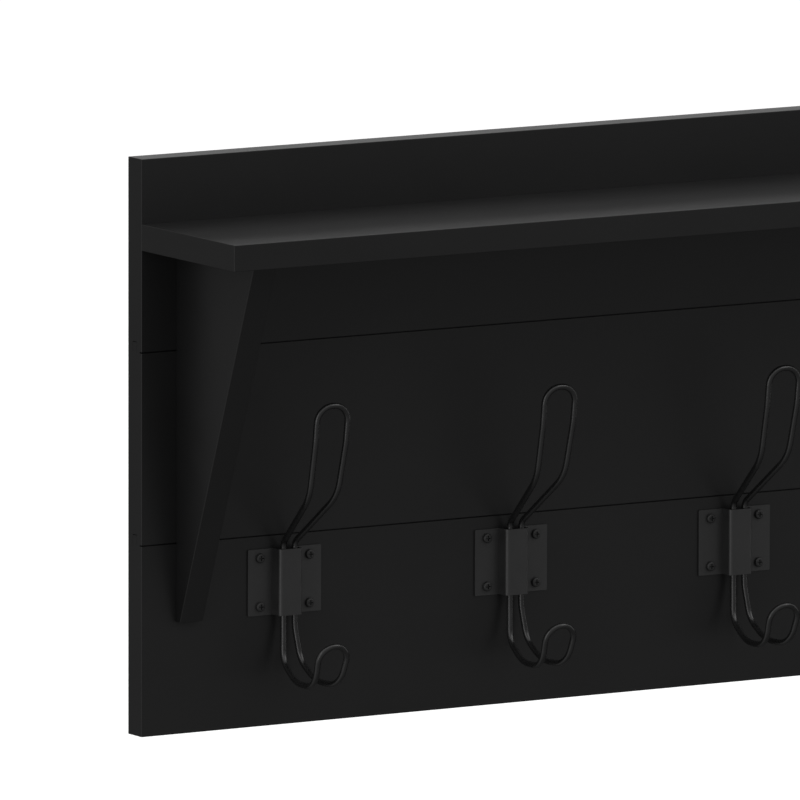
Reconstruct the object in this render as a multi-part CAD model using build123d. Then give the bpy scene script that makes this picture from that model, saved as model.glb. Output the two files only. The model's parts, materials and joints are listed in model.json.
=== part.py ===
from build123d import *
import os

# Wall coat rack: three tongue-and-groove boards, a shelf on two triangular
# brackets, and a row of bent-wire hooks held by pressed steel clips.
# The origin is the centre of the back face; +X runs along the rack, -Y faces
# the room and +Z is up.

# ------------------------------------------------ driving dimensions, in mm
PANEL_W = 946.0
PANEL_H = 395.0
BOARD_T = 18.0
JOINT_HEIGHTS = (130.5, 262.5)      # board joints, above the lower edge
EDGE_R = 0.4                        # eased outer edges of every board

REVEAL_H, REVEAL_DEPTH = 1.0, 2.5   # shadow line at the front of each joint
TONGUE_T, TONGUE_H = 5.0, 7.0
JOINT_CLEARANCE = 0.15

SHELF_DEPTH = 123.0
SHELF_TOP = 350.7                   # above the lower edge

BRACKET_INSET = 27.2                # rack's end to the bracket's outer face
BRACKET_FOOT = 77.0                 # bracket's lower end, above the lower edge
BRACKET_REACH = 103.6               # along the underside of the shelf
BRACKET_TOE = 5.0                   # blunt lower end

HOOK_COUNT = 5
HOOK_PITCH = 180.5
CLIP_W, CLIP_H = 57.8, 45.6
CLIP_CENTRE = 99.2                  # above the lower edge
CLIP_SHEET = 1.2
CLIP_CORNER_R = 0.8
CHANNEL_BASE, CHANNEL_FRONT = 9.9, 8.9    # outer half-widths of the channel
CHANNEL_H = 10.5
CHANNEL_BEND_R = 2.6
WIRE_D = 4.2
WIRE_SEAT_GAP = 0.05                # from the wire to the inside of the channel
CLIP_SCREW_X, CLIP_SCREW_Z = 19.5, 16.7

SCREW_D, SCREW_L = 3.5, 15.0        # clip screws, pan head
HEAD_D, HEAD_H, HEAD_ROUND = 6.6, 2.3, 1.2
CROSS_W, CROSS_T, CROSS_DEPTH = 3.6, 0.8, 1.3
CLIP_HOLE_FIT = 0.2                 # radial room round a clip screw in its clip

LONG_SCREW_D = 4.0                  # countersunk, from behind
SHELF_SCREW_L = 45.0
BRACKET_SCREWS = ((118.0, 28.0), (160.0, 45.0), (235.0, 45.0), (290.0, 45.0))  # height, length
LONG_HEAD_D, LONG_HEAD_H = 8.0, 3.0
LONG_HEAD_SINK = 0.5
SCREW_FIT = 0.05                    # radial room round every screw in wood
HEAD_FIT = 0.1                      # room round a countersunk head

DOWEL_D, DOWEL_FIT, DOWEL_CHAMFER = 8.0, 0.05, 0.8
SHELF_DOWEL_L, SHELF_DOWEL_BITE = 30.0, 11.0        # bite: depth into the top board
BRACKET_DOWEL_L, BRACKET_DOWEL_BITE = 28.0, 12.0    # bite: depth into the shelf
DOWEL_END_GAP = 1.0

HANGER_X = 345.0                    # keyhole hangers, from the middle
HANGER_Z = 362.0                    # entry hole, above the lower edge
HANGER_W, HANGER_H, HANGER_T = 20.0, 45.0, 2.0
HANGER_FIT = 0.2                    # room round a hanger plate in its recess
KEYHOLE_D, KEYSLOT_W, KEYSLOT_RISE = 9.5, 4.6, 9.0
POCKET_W, POCKET_H, POCKET_DEPTH = 13.0, 26.0, 9.0
HANGER_SCREW_D, HANGER_SCREW_L, HANGER_SCREW_RISE = 3.0, 13.0, 17.5
HANGER_HEAD_D, HANGER_HEAD_H, HANGER_HEAD_FIT = 5.6, 1.6, 0.3

OVERCUT = 1.0                       # how far a cutting shape runs past a face

# ------------------------------------------------------------ derived places
HALF_W = PANEL_W / 2
FRONT_Y = -BOARD_T


def height(above_lower_edge):
    """Height in the part's frame of a level given above the lower edge."""
    return above_lower_edge - PANEL_H / 2


SHELF_TOP_Z = height(SHELF_TOP)
SHELF_UNDER_Z = SHELF_TOP_Z - BOARD_T
SHELF_MID_Z = SHELF_TOP_Z - BOARD_T / 2
CLIP_Z = height(CLIP_CENTRE)
HOOK_XS = [(i - (HOOK_COUNT - 1) / 2) * HOOK_PITCH for i in range(HOOK_COUNT)]
BRACKET_X = HALF_W - BRACKET_INSET - BOARD_T / 2

# Half of a hook's wire, from the middle of its upper loop to the middle of its
# lower tip: distance to the side, distance in front of the boards, and height
# above the clip's middle, with the bend radius at each inner corner.
WIRE_FRONT = CHANNEL_H - CLIP_SHEET - WIRE_D / 2 - WIRE_SEAT_GAP
WIRE_GAP = 4.5
WIRE_ROUTE = [
    (0.0, 65.3, 127.8),
    (12.2, 65.3, 127.8),
    (12.0, 62.0, 102.0),
    (11.0, 52.5, 64.0),
    (WIRE_GAP, WIRE_FRONT, 27.0),
    (WIRE_GAP, WIRE_FRONT, -31.0),
    (6.8, 11.0, -54.0),
    (8.0, 30.0, -66.5),
    (9.8, 58.0, -65.5),
    (12.0, 68.0, -36.6),
    (0.0, 68.0, -36.6),
]
WIRE_BENDS = [11.4, 60.0, 30.0, 7.0, 40.0, 17.0, 30.0, 17.0, 11.0]

SHELF_DOWEL_XS = (-300.0, -100.0, 100.0, 300.0)
SHELF_SCREW_XS = (-400.0, -200.0, 0.0, 200.0, 400.0)
BRACKET_DOWEL_FRONTS = (32.0, 72.0)


# ------------------------------------------------------------ shape helpers
def block(x, y, z):
    """A box given by its (low, high) extents along each axis."""
    size = [high - low for low, high in (x, y, z)]
    centre = [(high + low) / 2 for low, high in (x, y, z)]
    return Pos(*centre) * Box(*size)


def rod(start, direction, radius, length):
    """A cylinder that begins at start and runs along direction."""
    return Solid.make_cylinder(radius, length, Plane(origin=start, z_dir=direction))


def cone(start, direction, base_radius, end_radius, length):
    """A truncated cone that begins at start and runs along direction."""
    plane = Plane(origin=start, z_dir=direction)
    return Solid.make_cone(base_radius, end_radius, length, plane)


def ease(board, sharp_levels=()):
    """Round a plain board's edges slightly, except those at the given heights."""
    edges = [e for e in board.edges() if all(abs(e.center().Z - z) > EDGE_R for z in sharp_levels)]
    return fillet(edges, EDGE_R)


def group(solids):
    """Several separate solids kept together in one node."""
    return Compound(children=[Solid(s.solid().wrapped) for s in solids])


# ------------------------------------------------------------ screws, dowels
def countersunk_screw(x, z, length):
    """A long screw driven forwards, its head let into the back face."""
    head_y = -LONG_HEAD_SINK
    head = cone((x, head_y, z), (0, -1, 0), LONG_HEAD_D / 2, LONG_SCREW_D / 2, LONG_HEAD_H)
    shank = rod((x, head_y, z), (0, -1, 0), LONG_SCREW_D / 2, length)
    recess = cross_recess((x, head_y, z), -1)
    return head + shank - recess


def countersunk_hole(x, z, length):
    """The clearance for one long screw, open at the back face."""
    head_radius = LONG_HEAD_D / 2 + HEAD_FIT
    shank_radius = LONG_SCREW_D / 2 + SCREW_FIT
    start, inwards = (x, OVERCUT, z), (0, -1, 0)
    mouth = rod(start, inwards, head_radius, OVERCUT + LONG_HEAD_SINK)
    seat_start = (x, -LONG_HEAD_SINK, z)
    seat = cone(seat_start, inwards, head_radius, shank_radius, LONG_HEAD_H + HEAD_FIT)
    shank = rod(start, inwards, shank_radius, length + 2 * OVERCUT)
    return mouth + seat + shank


def cross_recess(at, inward):
    """A cross-shaped driver recess, cut along Y from a head's outer face."""
    x, y, z = at
    y_span = sorted((y - inward * OVERCUT, y + inward * CROSS_DEPTH))
    half, thin = CROSS_W / 2, CROSS_T / 2
    bar = block((x - half, x + half), y_span, (z - thin, z + thin))
    post = block((x - thin, x + thin), y_span, (z - half, z + half))
    return bar + post


def dowel(start, direction, length):
    """A wooden dowel with chamfered ends, lying along direction."""
    pin = rod(start, direction, DOWEL_D / 2, length)
    return pin.chamfer(DOWEL_CHAMFER, None, pin.edges().filter_by(GeomType.CIRCLE))


def dowel_hole(start, direction, length):
    """The bore for one dowel, with a little glue room at both ends."""
    step = Vector(*direction)
    begin = Vector(*start) - step * DOWEL_END_GAP
    return rod(tuple(begin), direction, DOWEL_D / 2 + DOWEL_FIT, length + 2 * DOWEL_END_GAP)


def shelf_dowel_places():
    """Dowels from the top board into the shelf's back edge, along -Y."""
    start_y = FRONT_Y + SHELF_DOWEL_BITE
    return [((x, start_y, SHELF_MID_Z), (0, -1, 0), SHELF_DOWEL_L) for x in SHELF_DOWEL_XS]


def bracket_dowel_places(x):
    """Dowels from a bracket's top edge up into the shelf, along +Z."""
    start_z = SHELF_UNDER_Z + BRACKET_DOWEL_BITE - BRACKET_DOWEL_L
    return [
        ((x, FRONT_Y - front, start_z), (0, 0, 1), BRACKET_DOWEL_L)
        for front in BRACKET_DOWEL_FRONTS
    ]


def shelf_screw_places():
    return [(x, SHELF_MID_Z, SHELF_SCREW_L) for x in SHELF_SCREW_XS]


def bracket_screw_places(x):
    return [(x, height(level), length) for level, length in BRACKET_SCREWS]


# ------------------------------------------------------------------- boards
def plank(low, high, groove_below, tongue_above):
    """One board of the back, between two heights in the part's frame."""
    joints = [low] * groove_below + [high] * tongue_above
    board = ease(block((-HALF_W, HALF_W), (FRONT_Y, 0), (low, high)), joints)
    middle_y = FRONT_Y / 2
    if groove_below:
        half = TONGUE_T / 2 + JOINT_CLEARANCE
        depth = TONGUE_H + 3 * JOINT_CLEARANCE
        x, start = (-HALF_W - OVERCUT, HALF_W + OVERCUT), low - OVERCUT
        board -= block(x, (middle_y - half, middle_y + half), (start, low + depth))
        board -= block(x, (FRONT_Y - OVERCUT, FRONT_Y + REVEAL_DEPTH), (start, low + REVEAL_H))
    if tongue_above:
        half = TONGUE_T / 2
        y = (middle_y - half, middle_y + half)
        board += block((-HALF_W, HALF_W), y, (high - OVERCUT, high + TONGUE_H))
    return board


def clip_screw_places(hook_x):
    return [
        (hook_x + sx * CLIP_SCREW_X, CLIP_Z + sz * CLIP_SCREW_Z)
        for sx in (-1, 1)
        for sz in (-1, 1)
    ]


def make_planks():
    """The three boards of the back, bored for everything fixed to them."""
    lower, upper = (height(h) for h in JOINT_HEIGHTS)
    bottom = plank(height(0), lower, False, True)
    middle = plank(lower, upper, True, True)
    top = plank(upper, height(PANEL_H), True, False)
    for hook_x in HOOK_XS:
        for x, z in clip_screw_places(hook_x):
            start = (x, FRONT_Y - OVERCUT, z)
            bottom -= rod(start, (0, 1, 0), SCREW_D / 2 + SCREW_FIT, SCREW_L + OVERCUT)
    for x in (-BRACKET_X, BRACKET_X):
        for place in bracket_screw_places(x):
            hole = countersunk_hole(*place)
            if place[1] < lower:
                bottom -= hole
            elif place[1] < upper:
                middle -= hole
            else:
                top -= hole
    for place in shelf_screw_places():
        top -= countersunk_hole(*place)
    for place in shelf_dowel_places():
        top -= dowel_hole(*place)
    for x in (-HANGER_X, HANGER_X):
        top -= hanger_pocket(x)
    return {"plank_top": top, "plank_middle": middle, "plank_bottom": bottom}


def make_shelf():
    """The shelf board, butted against the front of the top board."""
    y = (FRONT_Y - SHELF_DEPTH, FRONT_Y)
    board = ease(block((-HALF_W, HALF_W), y, (SHELF_UNDER_Z, SHELF_TOP_Z)))
    for place in shelf_screw_places():
        board -= countersunk_hole(*place)
    for place in shelf_dowel_places():
        board -= dowel_hole(*place)
    for x in (-BRACKET_X, BRACKET_X):
        for place in bracket_dowel_places(x):
            board -= dowel_hole(*place)
    return board


def make_bracket(x):
    """A triangular board that stands on edge under the shelf."""
    foot_z = height(BRACKET_FOOT)
    outline = Polyline(
        (FRONT_Y, SHELF_UNDER_Z),
        (FRONT_Y - BRACKET_REACH, SHELF_UNDER_Z),
        (FRONT_Y - BRACKET_TOE, foot_z),
        (FRONT_Y, foot_z),
        close=True,
    )
    side = Plane(origin=(x - BOARD_T / 2, 0, 0), x_dir=(0, 1, 0), z_dir=(1, 0, 0))
    board = ease(extrude(side * make_face(outline), BOARD_T))
    for place in bracket_screw_places(x):
        board -= countersunk_hole(*place)
    for place in bracket_dowel_places(x):
        board -= dowel_hole(*place)
    return board


# -------------------------------------------------------------------- hooks
def make_hook_wire(hook_x):
    """One closed bent wire: upper loop, two legs and an upturned lower tip."""
    points = [(side, FRONT_Y - front, rise) for side, front, rise in WIRE_ROUTE]
    path = FilletPolyline(*points, radius=WIRE_BENDS)
    section = Plane(origin=path @ 0, z_dir=path % 0) * Circle(WIRE_D / 2)
    leg = sweep(section, path=path)
    return Pos(hook_x, 0, CLIP_Z) * (leg + mirror(leg, Plane.YZ))


def channel_profile(inset):
    """Outline of a clip seen from above, shrunk by inset from its front side."""
    base, front = CHANNEL_BASE - inset, CHANNEL_FRONT - inset
    crest_y = FRONT_Y - CHANNEL_H + inset
    return base, front, crest_y


def bends_at(sheet, y):
    """The upright edges of a clip's channel that lie at one depth."""
    return sheet.edges().filter_by(Axis.Z).filter_by(lambda e: abs(e.center().Y - y) < CLIP_SHEET / 10)


def make_hook_clip(hook_x):
    """A sheet-steel clip: two flanges and a raised channel for the wire."""
    half = CLIP_W / 2
    flange_y = FRONT_Y - CLIP_SHEET
    base, front, crest = channel_profile(0)
    inner_base, inner_front, inner_crest = channel_profile(CLIP_SHEET)
    outer_side = [(-half, flange_y), (-base, flange_y), (-front, crest)]
    outer_side += [(-x, y) for x, y in reversed(outer_side)]
    inner_side = [(half, FRONT_Y), (inner_base, FRONT_Y), (inner_front, inner_crest)]
    inner_side += [(-x, y) for x, y in reversed(inner_side)]
    sheet = extrude(make_face(Polyline(*outer_side, *inner_side, close=True)), CLIP_H)
    sheet = fillet(bends_at(sheet, crest), CHANNEL_BEND_R)
    sheet = fillet(bends_at(sheet, inner_crest), CHANNEL_BEND_R - CLIP_SHEET)
    corners = sheet.edges().filter_by(Axis.Y).filter_by(lambda e: abs(e.center().X) > CHANNEL_BASE)
    sheet = fillet(corners, CLIP_CORNER_R)
    clip = Pos(hook_x, 0, CLIP_Z - CLIP_H / 2) * sheet
    for x, z in clip_screw_places(hook_x):
        start = (x, FRONT_Y + OVERCUT, z)
        clip -= rod(start, (0, -1, 0), SCREW_D / 2 + CLIP_HOLE_FIT, CLIP_SHEET + 2 * OVERCUT)
    return clip


def pan_screw(x, z):
    """A pan-head screw driven backwards through a clip's flange."""
    head_y = FRONT_Y - CLIP_SHEET
    head = rod((x, head_y, z), (0, -1, 0), HEAD_D / 2, HEAD_H)
    head = head.fillet(HEAD_ROUND, head.edges().sort_by(Axis.Y)[:1])
    shank = rod((x, head_y, z), (0, 1, 0), SCREW_D / 2, SCREW_L)
    return head + shank - cross_recess((x, head_y - HEAD_H, z), 1)


# ------------------------------------------------------------------ hangers
def hanger_outline(x, grow):
    """The hanger plate's round-ended outline, widened by grow all round."""
    centre_z = height(HANGER_Z) + KEYSLOT_RISE / 2
    plane = Plane(origin=(x, 0, centre_z), x_dir=(0, 0, 1), z_dir=(0, -1, 0))
    return plane * SlotOverall(HANGER_H + 2 * grow, HANGER_W + 2 * grow)


def hanger_pocket(x):
    """Recess for a hanger plate, with a deeper pocket for the wall screw."""
    entry_z = height(HANGER_Z)
    recess = extrude(hanger_outline(x, HANGER_FIT), HANGER_T)
    half_w = POCKET_W / 2
    low = entry_z - POCKET_W / 2
    z = (low, low + POCKET_H)
    pocket = block((x - half_w, x + half_w), (-HANGER_T - POCKET_DEPTH, 0), z)
    holes = recess + pocket
    for px, pz in hanger_screw_places(x):
        radius = HANGER_SCREW_D / 2 + SCREW_FIT
        holes += rod((px, 0, pz), (0, -1, 0), radius, HANGER_SCREW_L + HANGER_T)
    return holes


def hanger_screw_places(x):
    centre_z = height(HANGER_Z) + KEYSLOT_RISE / 2
    return [(x, centre_z + side * HANGER_SCREW_RISE) for side in (-1, 1)]


def make_hanger(x):
    """A keyhole plate let in flush with the back face."""
    entry_z = height(HANGER_Z)
    inwards, through = (0, -1, 0), HANGER_T + 2 * OVERCUT
    plate = extrude(hanger_outline(x, 0), HANGER_T)
    plate -= rod((x, OVERCUT, entry_z), inwards, KEYHOLE_D / 2, through)
    slot_half = KEYSLOT_W / 2
    slot_top = entry_z + KEYSLOT_RISE
    y = (-HANGER_T - OVERCUT, OVERCUT)
    plate -= block((x - slot_half, x + slot_half), y, (entry_z, slot_top))
    plate -= rod((x, OVERCUT, slot_top), inwards, slot_half, through)
    head_radius = HANGER_HEAD_D / 2 + HANGER_HEAD_FIT
    hole_radius = HANGER_SCREW_D / 2 + HEAD_FIT
    for px, pz in hanger_screw_places(x):
        plate -= cone((px, 0, pz), inwards, head_radius, hole_radius, HANGER_HEAD_H + HEAD_FIT)
        plate -= rod((px, OVERCUT, pz), inwards, hole_radius, through)
    return plate


def hanger_screw(x, z):
    """A small countersunk screw that holds a hanger plate."""
    head = cone((x, 0, z), (0, -1, 0), HANGER_HEAD_D / 2, HANGER_SCREW_D / 2, HANGER_HEAD_H)
    shank = rod((x, 0, z), (0, -1, 0), HANGER_SCREW_D / 2, HANGER_SCREW_L)
    return head + shank


# ----------------------------------------------------------------- assembly
def build_nodes():
    """Every sub-part of the rack by name."""
    nodes = make_planks()
    nodes["shelf_board"] = make_shelf()
    nodes["shelf_screws"] = group([countersunk_screw(*p) for p in shelf_screw_places()])
    nodes["shelf_dowels"] = group([dowel(*p) for p in shelf_dowel_places()])
    for side, sign in (("left", -1), ("right", 1)):
        x = sign * BRACKET_X
        nodes[f"bracket_{side}"] = make_bracket(x)
        screws = [countersunk_screw(*p) for p in bracket_screw_places(x)]
        nodes[f"bracket_screws_{side}"] = group(screws)
        nodes[f"bracket_dowels_{side}"] = group([dowel(*p) for p in bracket_dowel_places(x)])
        x = sign * HANGER_X
        nodes[f"keyhole_hanger_{side}"] = make_hanger(x)
        nodes[f"hanger_screws_{side}"] = group([hanger_screw(*p) for p in hanger_screw_places(x)])
    for number, hook_x in enumerate(HOOK_XS, 1):
        nodes[f"hook_wire_{number}"] = make_hook_wire(hook_x)
        nodes[f"hook_clip_{number}"] = make_hook_clip(hook_x)
        nodes[f"hook_screws_{number}"] = group([pan_screw(*p) for p in clip_screw_places(hook_x)])
    return nodes


os.makedirs("parts", exist_ok=True)
for name, shape in build_nodes().items():
    export_step(shape, f"parts/{name}.step")
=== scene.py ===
import json
import math

import bpy
from mathutils import Matrix, Vector


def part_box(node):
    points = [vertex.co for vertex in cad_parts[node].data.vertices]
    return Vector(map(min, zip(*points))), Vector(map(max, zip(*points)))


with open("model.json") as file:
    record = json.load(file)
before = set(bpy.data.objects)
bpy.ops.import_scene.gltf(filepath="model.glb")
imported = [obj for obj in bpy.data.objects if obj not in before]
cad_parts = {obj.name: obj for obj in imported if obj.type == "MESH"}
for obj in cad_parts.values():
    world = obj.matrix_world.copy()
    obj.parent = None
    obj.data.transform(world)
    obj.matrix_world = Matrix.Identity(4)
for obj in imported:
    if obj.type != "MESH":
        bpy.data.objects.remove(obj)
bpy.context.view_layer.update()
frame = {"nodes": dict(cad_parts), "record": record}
nodes = frame["nodes"]

# ---------------------------------------------------------------- places, in metres
PANEL_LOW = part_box("plank_bottom")[0]

# The camera looks from the left, a little above, with a very long lens.
VIEW_AZIMUTH = math.radians(31.134)
VIEW_ELEVATION = math.radians(8.185)
VIEW_ROLL = math.radians(0.121)
VIEW_DISTANCE = 12.812
LENS, SENSOR = 842.0, 36.0
AIM_FROM_LEFT = 0.300
AIM_FROM_FOOT = 0.200
AIM_DEPTH = -0.009
AIM_SLIDE = (-0.07741, 0.00804)

FLOOR_DROP = 0.75                   # from the rack's lower edge
FLOOR_SIZE = 160.0
FLOOR_GLOW = 0.3                    # brings the floor up to white, which the tent alone doesn't

# The light tent: how bright each wall is, by the axis and the side that it stands on.
TENT_WALLS = {
    ("X", 1): 0.02, ("X", -1): 0.62, ("Y", 1): 0.0, ("Y", -1): 0.34, ("Z", 1): 1.36, ("Z", -1): 0.11,
}
# Soft boxes round the rack: direction, distance, width, height and power in watts.
SOFT_BOXES = {
    "rim": ((0.49, 0.81, 0.28), 6.0, 3.0, 2.0, 12.8),
    "right": ((0.94, -0.34, 0.1), 3.0, 0.8, 2.4, 6.0),
    "left": ((-0.90, -0.42, 0.1), 3.0, 0.8, 2.4, 9.0),
    "key": ((0.5, -0.6, 0.62), 3.0, 1.6, 1.6, 11.5),
    "back": ((0.2, 0.95, -0.22), 3.0, 2.4, 0.5, 7.0),
}


# ------------------------------------------------------------------- node helpers
class Shader:
    """A material's node tree, with short calls to add and join nodes."""

    def __init__(self, name):
        self.material = bpy.data.materials.new(name)
        self.material.use_nodes = True
        self.tree = self.material.node_tree
        self.surface = self.tree.nodes["Principled BSDF"]
        self.place = self.add("ShaderNodeTexCoord").outputs["Object"]

    def add(self, kind, **settings):
        node = self.tree.nodes.new(kind)
        for key, value in settings.items():
            setattr(node, key, value)
        return node

    def join(self, source, target):
        self.tree.links.new(source, target)

    def set(self, **values):
        """Uniform values, set on the surface shader's own sockets."""
        for key, value in values.items():
            self.surface.inputs[key.replace("_", " ")].default_value = value

    def stretched(self, scale):
        """The object's own coordinates, in metres, times a scale for each axis."""
        mapping = self.add("ShaderNodeMapping")
        mapping.inputs["Scale"].default_value = scale
        self.join(self.place, mapping.inputs["Vector"])
        return mapping.outputs["Vector"]

    def noise(self, scale, detail=2.0, roughness=0.5, vector=None):
        node = self.add("ShaderNodeTexNoise")
        node.inputs["Scale"].default_value = scale
        node.inputs["Detail"].default_value = detail
        node.inputs["Roughness"].default_value = roughness
        self.join(vector or self.place, node.inputs["Vector"])
        return node.outputs["Fac"]

    def spread(self, source, low, high, out_low, out_high):
        """Maps a value's low to high range onto another range, clamped."""
        node = self.add("ShaderNodeMapRange")
        ends = {"From Min": low, "From Max": high, "To Min": out_low, "To Max": out_high}
        for key, value in ends.items():
            node.inputs[key].default_value = value
        self.join(source, node.inputs["Value"])
        return node.outputs["Result"]

    def ramp(self, source, stops):
        node = self.add("ShaderNodeValToRGB")
        elements = node.color_ramp.elements
        while len(elements) < len(stops):
            elements.new(0.5)
        for element, (position, colour) in zip(elements, stops):
            element.position = position
            element.color = (*colour, 1.0)
        self.join(source, node.inputs["Fac"])
        return node.outputs["Color"]

    def math(self, operation, a, b):
        node = self.add("ShaderNodeMath", operation=operation)
        for socket, value in zip(node.inputs, (a, b)):
            if isinstance(value, (int, float)):
                socket.default_value = value
            else:
                self.join(value, socket)
        return node.outputs["Value"]

    def bump(self, source, strength, depth, under=None):
        node = self.add("ShaderNodeBump")
        node.inputs["Strength"].default_value = strength
        node.inputs["Distance"].default_value = depth
        self.join(source, node.inputs["Height"])
        if under:
            self.join(under, node.inputs["Normal"])
        return node.outputs["Normal"]


# ---------------------------------------------------------------------- materials
def cool_black(level):
    """A near-black grey with a trace of blue."""
    return level, level, round(1.02 * level, 4)


def black_lacquer():
    """Sprayed satin lacquer on fibreboard: fine orange peel, faint roller streaks."""
    s = Shader("black_lacquer")
    mottle = s.noise(9.0, detail=4.0, roughness=0.6)
    speck = s.noise(900.0, detail=2.0, roughness=0.6)
    tone = s.math("ADD", s.math("MULTIPLY", mottle, 0.7), s.math("MULTIPLY", speck, 0.3))
    colour = s.ramp(tone, [(0.3, cool_black(0.0050)), (0.7, cool_black(0.0070))])
    s.join(colour, s.surface.inputs["Base Color"])
    streak = s.noise(60.0, detail=3.0, roughness=0.55, vector=s.stretched((0.15, 1.0, 1.0)))
    streaked = s.spread(streak, 0.3, 0.7, 0.385, 0.415)
    rough = s.math("ADD", streaked, s.spread(mottle, 0.3, 0.7, -0.015, 0.015))
    s.join(rough, s.surface.inputs["Roughness"])
    peel = s.bump(s.noise(420.0, detail=2.0, roughness=0.5), strength=0.10, depth=0.0002)
    grain = s.bump(s.noise(1600.0, detail=2.0, roughness=0.6), strength=0.06, depth=0.0001, under=peel)
    s.join(grain, s.surface.inputs["Normal"])
    s.set(Specular_IOR_Level=0.44)
    return s.material


def powder_coat(name, dark, light, rough, bump, gloss):
    """Satin powder coat on steel, with a fine pebbled skin."""
    s = Shader(name)
    cloud = s.noise(70.0, detail=4.0, roughness=0.6)
    colour = s.ramp(cloud, [(0.3, cool_black(dark)), (0.7, cool_black(light))])
    s.join(colour, s.surface.inputs["Base Color"])
    patch = s.noise(260.0, detail=3.0, roughness=0.6)
    s.join(s.spread(patch, 0.3, 0.7, rough - 0.05, rough + 0.05), s.surface.inputs["Roughness"])
    pebble = s.bump(s.noise(1900.0, detail=2.0, roughness=0.6), strength=bump, depth=0.0001)
    s.join(pebble, s.surface.inputs["Normal"])
    s.set(Metallic=0.0, Specular_IOR_Level=gloss)
    return s.material


def zinc_plate():
    """Bright zinc on screws and hangers, slightly clouded."""
    s = Shader("zinc_plate")
    cloud = s.noise(300.0, detail=4.0, roughness=0.65)
    colour = s.ramp(cloud, [(0.3, (0.42, 0.43, 0.45)), (0.7, (0.62, 0.63, 0.65))])
    s.join(colour, s.surface.inputs["Base Color"])
    patch = s.noise(700.0, detail=3.0, roughness=0.6)
    s.join(s.spread(patch, 0.3, 0.7, 0.26, 0.42), s.surface.inputs["Roughness"])
    grit = s.bump(s.noise(2200.0, detail=2.0, roughness=0.5), strength=0.1, depth=0.0001)
    s.join(grit, s.surface.inputs["Normal"])
    s.set(Metallic=1.0)
    return s.material


def beech_wood():
    """Bare beech dowels with short flecks."""
    s = Shader("beech_wood")
    grain = s.noise(500.0, detail=4.0, roughness=0.6, vector=s.stretched((1.0, 0.12, 0.12)))
    colour = s.ramp(grain, [(0.3, (0.42, 0.26, 0.13)), (0.7, (0.66, 0.46, 0.27))])
    s.join(colour, s.surface.inputs["Base Color"])
    s.join(s.spread(grain, 0.3, 0.7, 0.5, 0.65), s.surface.inputs["Roughness"])
    s.join(s.bump(grain, strength=0.2, depth=0.0002), s.surface.inputs["Normal"])
    return s.material


def floor_paint():
    """Flat white paint that glows a little, with a faint unevenness."""
    s = Shader("floor_paint")
    colour = s.ramp(s.noise(0.6), [(0.3, (0.93, 0.93, 0.93)), (0.7, (0.95, 0.95, 0.95))])
    s.join(colour, s.surface.inputs["Base Color"])
    s.set(Roughness=0.9, Specular_IOR_Level=0.1, Emission_Color=(1, 1, 1, 1), Emission_Strength=FLOOR_GLOW)
    return s.material


def dress(node, material):
    """Gives a CAD node its material; its own normals already shade its bends."""
    mesh = nodes[node].data
    mesh.materials.clear()
    mesh.materials.append(material)


# ------------------------------------------------------------------ staging
def make_camera():
    """A camera at the photograph's angle, placed from the rack's own corners."""
    side = Vector((math.cos(VIEW_AZIMUTH), -math.sin(VIEW_AZIMUTH), 0.0))
    back = Vector((
        -math.sin(VIEW_AZIMUTH) * math.cos(VIEW_ELEVATION),
        -math.cos(VIEW_AZIMUTH) * math.cos(VIEW_ELEVATION),
        math.sin(VIEW_ELEVATION),
    ))
    up = back.cross(side)
    turn = Matrix.Rotation(VIEW_ROLL, 3, back)
    side, up = turn @ side, turn @ up
    aim = Vector((PANEL_LOW.x + AIM_FROM_LEFT, AIM_DEPTH, PANEL_LOW.z + AIM_FROM_FOOT))
    aim += AIM_SLIDE[0] * side + AIM_SLIDE[1] * up
    data = bpy.data.cameras.new("camera")
    data.lens, data.sensor_width = LENS, SENSOR
    data.clip_start, data.clip_end = 0.05, 200.0
    camera = bpy.data.objects.new("camera", data)
    rotation = Matrix((side, up, back)).transposed().to_4x4()
    camera.matrix_world = Matrix.Translation(aim + VIEW_DISTANCE * back) @ rotation
    bpy.context.scene.collection.objects.link(camera)
    bpy.context.scene.camera = camera


def make_floor():
    """A plain white floor. Only the camera sees it: the tent of light reaches the rack from below too."""
    half = FLOOR_SIZE / 2
    level = PANEL_LOW.z - FLOOR_DROP
    mesh = bpy.data.meshes.new("floor")
    corners = [(x * half, y * half, level) for x, y in ((-1, -1), (1, -1), (1, 1), (-1, 1))]
    mesh.from_pydata(corners, [], [(0, 1, 2, 3)])
    floor = bpy.data.objects.new("floor", mesh)
    mesh.materials.append(floor_paint())
    bpy.context.scene.collection.objects.link(floor)
    floor.visible_diffuse = floor.visible_glossy = floor.visible_shadow = False


def soft_box(name, direction, distance, width, height, power):
    """A rectangular light that faces the rack from one direction."""
    data = bpy.data.lights.new(name, "AREA")
    data.shape, data.size, data.size_y, data.energy = "RECTANGLE", width, height, power
    lamp = bpy.data.objects.new(name, data)
    lamp.location = Vector(direction).normalized() * distance
    lamp.rotation_euler = (-lamp.location).to_track_quat("-Z", "Y").to_euler()
    lamp.visible_camera = False
    bpy.context.scene.collection.objects.link(lamp)


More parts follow.
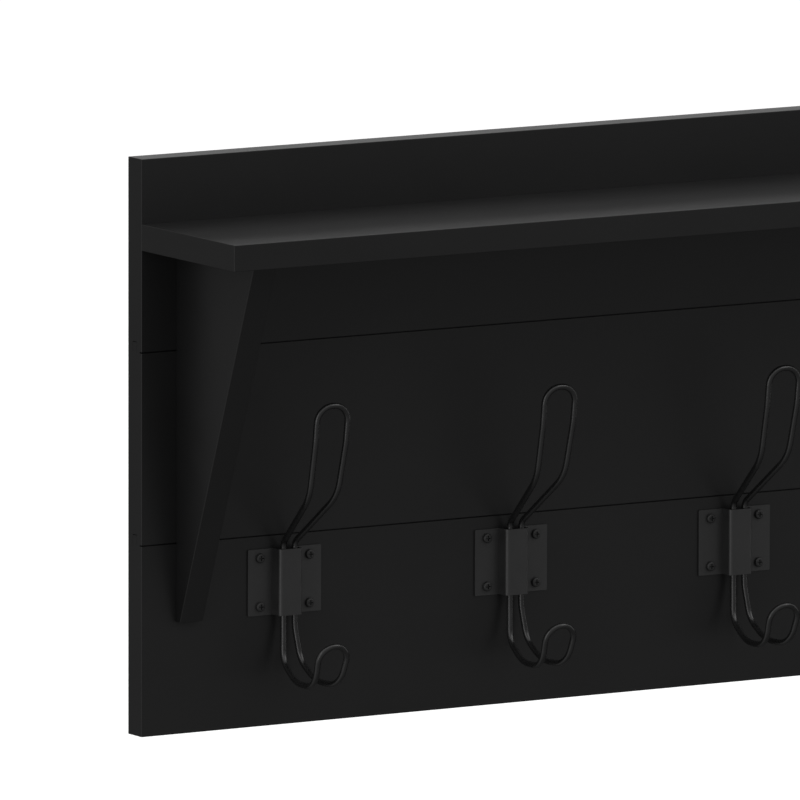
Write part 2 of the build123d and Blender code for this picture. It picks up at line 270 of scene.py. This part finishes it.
def make_tent():
    """A light tent round the rack: six soft walls of their own brightness, which run into each other."""
    world = bpy.data.worlds.new("tent")
    bpy.context.scene.world = world
    world.use_nodes = True
    tree = world.node_tree
    tree.nodes.clear()

    def math_node(operation, a, b):
        node = tree.nodes.new("ShaderNodeMath")
        node.operation = operation
        for socket, value in zip(node.inputs, (a, b)):
            if isinstance(value, (int, float)):
                socket.default_value = value
            else:
                tree.links.new(value, socket)
        return node.outputs["Value"]

    coords = tree.nodes.new("ShaderNodeTexCoord")
    direction = tree.nodes.new("ShaderNodeSeparateXYZ")
    tree.links.new(coords.outputs["Generated"], direction.inputs["Vector"])
    total = 0.0
    for (axis, sign), brightness in TENT_WALLS.items():
        facing = math_node("MAXIMUM", math_node("MULTIPLY", direction.outputs[axis], sign), 0.0)
        wall = math_node("MULTIPLY", math_node("MULTIPLY", facing, facing), brightness)
        total = math_node("ADD", wall, total)
    light = tree.nodes.new("ShaderNodeBackground")
    tree.links.new(total, light.inputs["Strength"])
    white = tree.nodes.new("ShaderNodeBackground")
    path = tree.nodes.new("ShaderNodeLightPath")
    mix = tree.nodes.new("ShaderNodeMixShader")
    tree.links.new(path.outputs["Is Camera Ray"], mix.inputs["Fac"])
    tree.links.new(light.outputs["Background"], mix.inputs[1])
    tree.links.new(white.outputs["Background"], mix.inputs[2])
    out = tree.nodes.new("ShaderNodeOutputWorld")
    tree.links.new(mix.outputs["Shader"], out.inputs["Surface"])
    for node in (light, white):
        node.inputs["Color"].default_value = (1, 1, 1, 1)


def make_light():
    make_tent()
    for name, settings in SOFT_BOXES.items():
        soft_box(name, *settings)


# ------------------------------------------------------------------ making
def dress_nodes():
    lacquer = black_lacquer()
    wire = powder_coat("wire_coat", dark=0.006, light=0.009, rough=0.26, bump=0.08, gloss=0.6)
    clip = powder_coat("clip_coat", dark=0.007, light=0.010, rough=0.48, bump=0.16, gloss=0.80)
    oxide = powder_coat("screw_oxide", dark=0.007, light=0.010, rough=0.52, bump=0.10, gloss=0.6)
    zinc, beech = zinc_plate(), beech_wood()
    by_slot = {
        "black_board": lacquer, "wire_metal": wire, "clip_metal": clip, "black_screw": oxide,
        "zinc_screw": zinc, "hanger_steel": zinc, "beech": beech,
    }
    for part in frame["record"]["subparts"]:
        dress(part["node"], by_slot[part["material_slot"]])


scene = bpy.context.scene
scene.view_settings.view_transform = "Standard"
make_camera()
make_floor()
make_light()
dress_nodes()
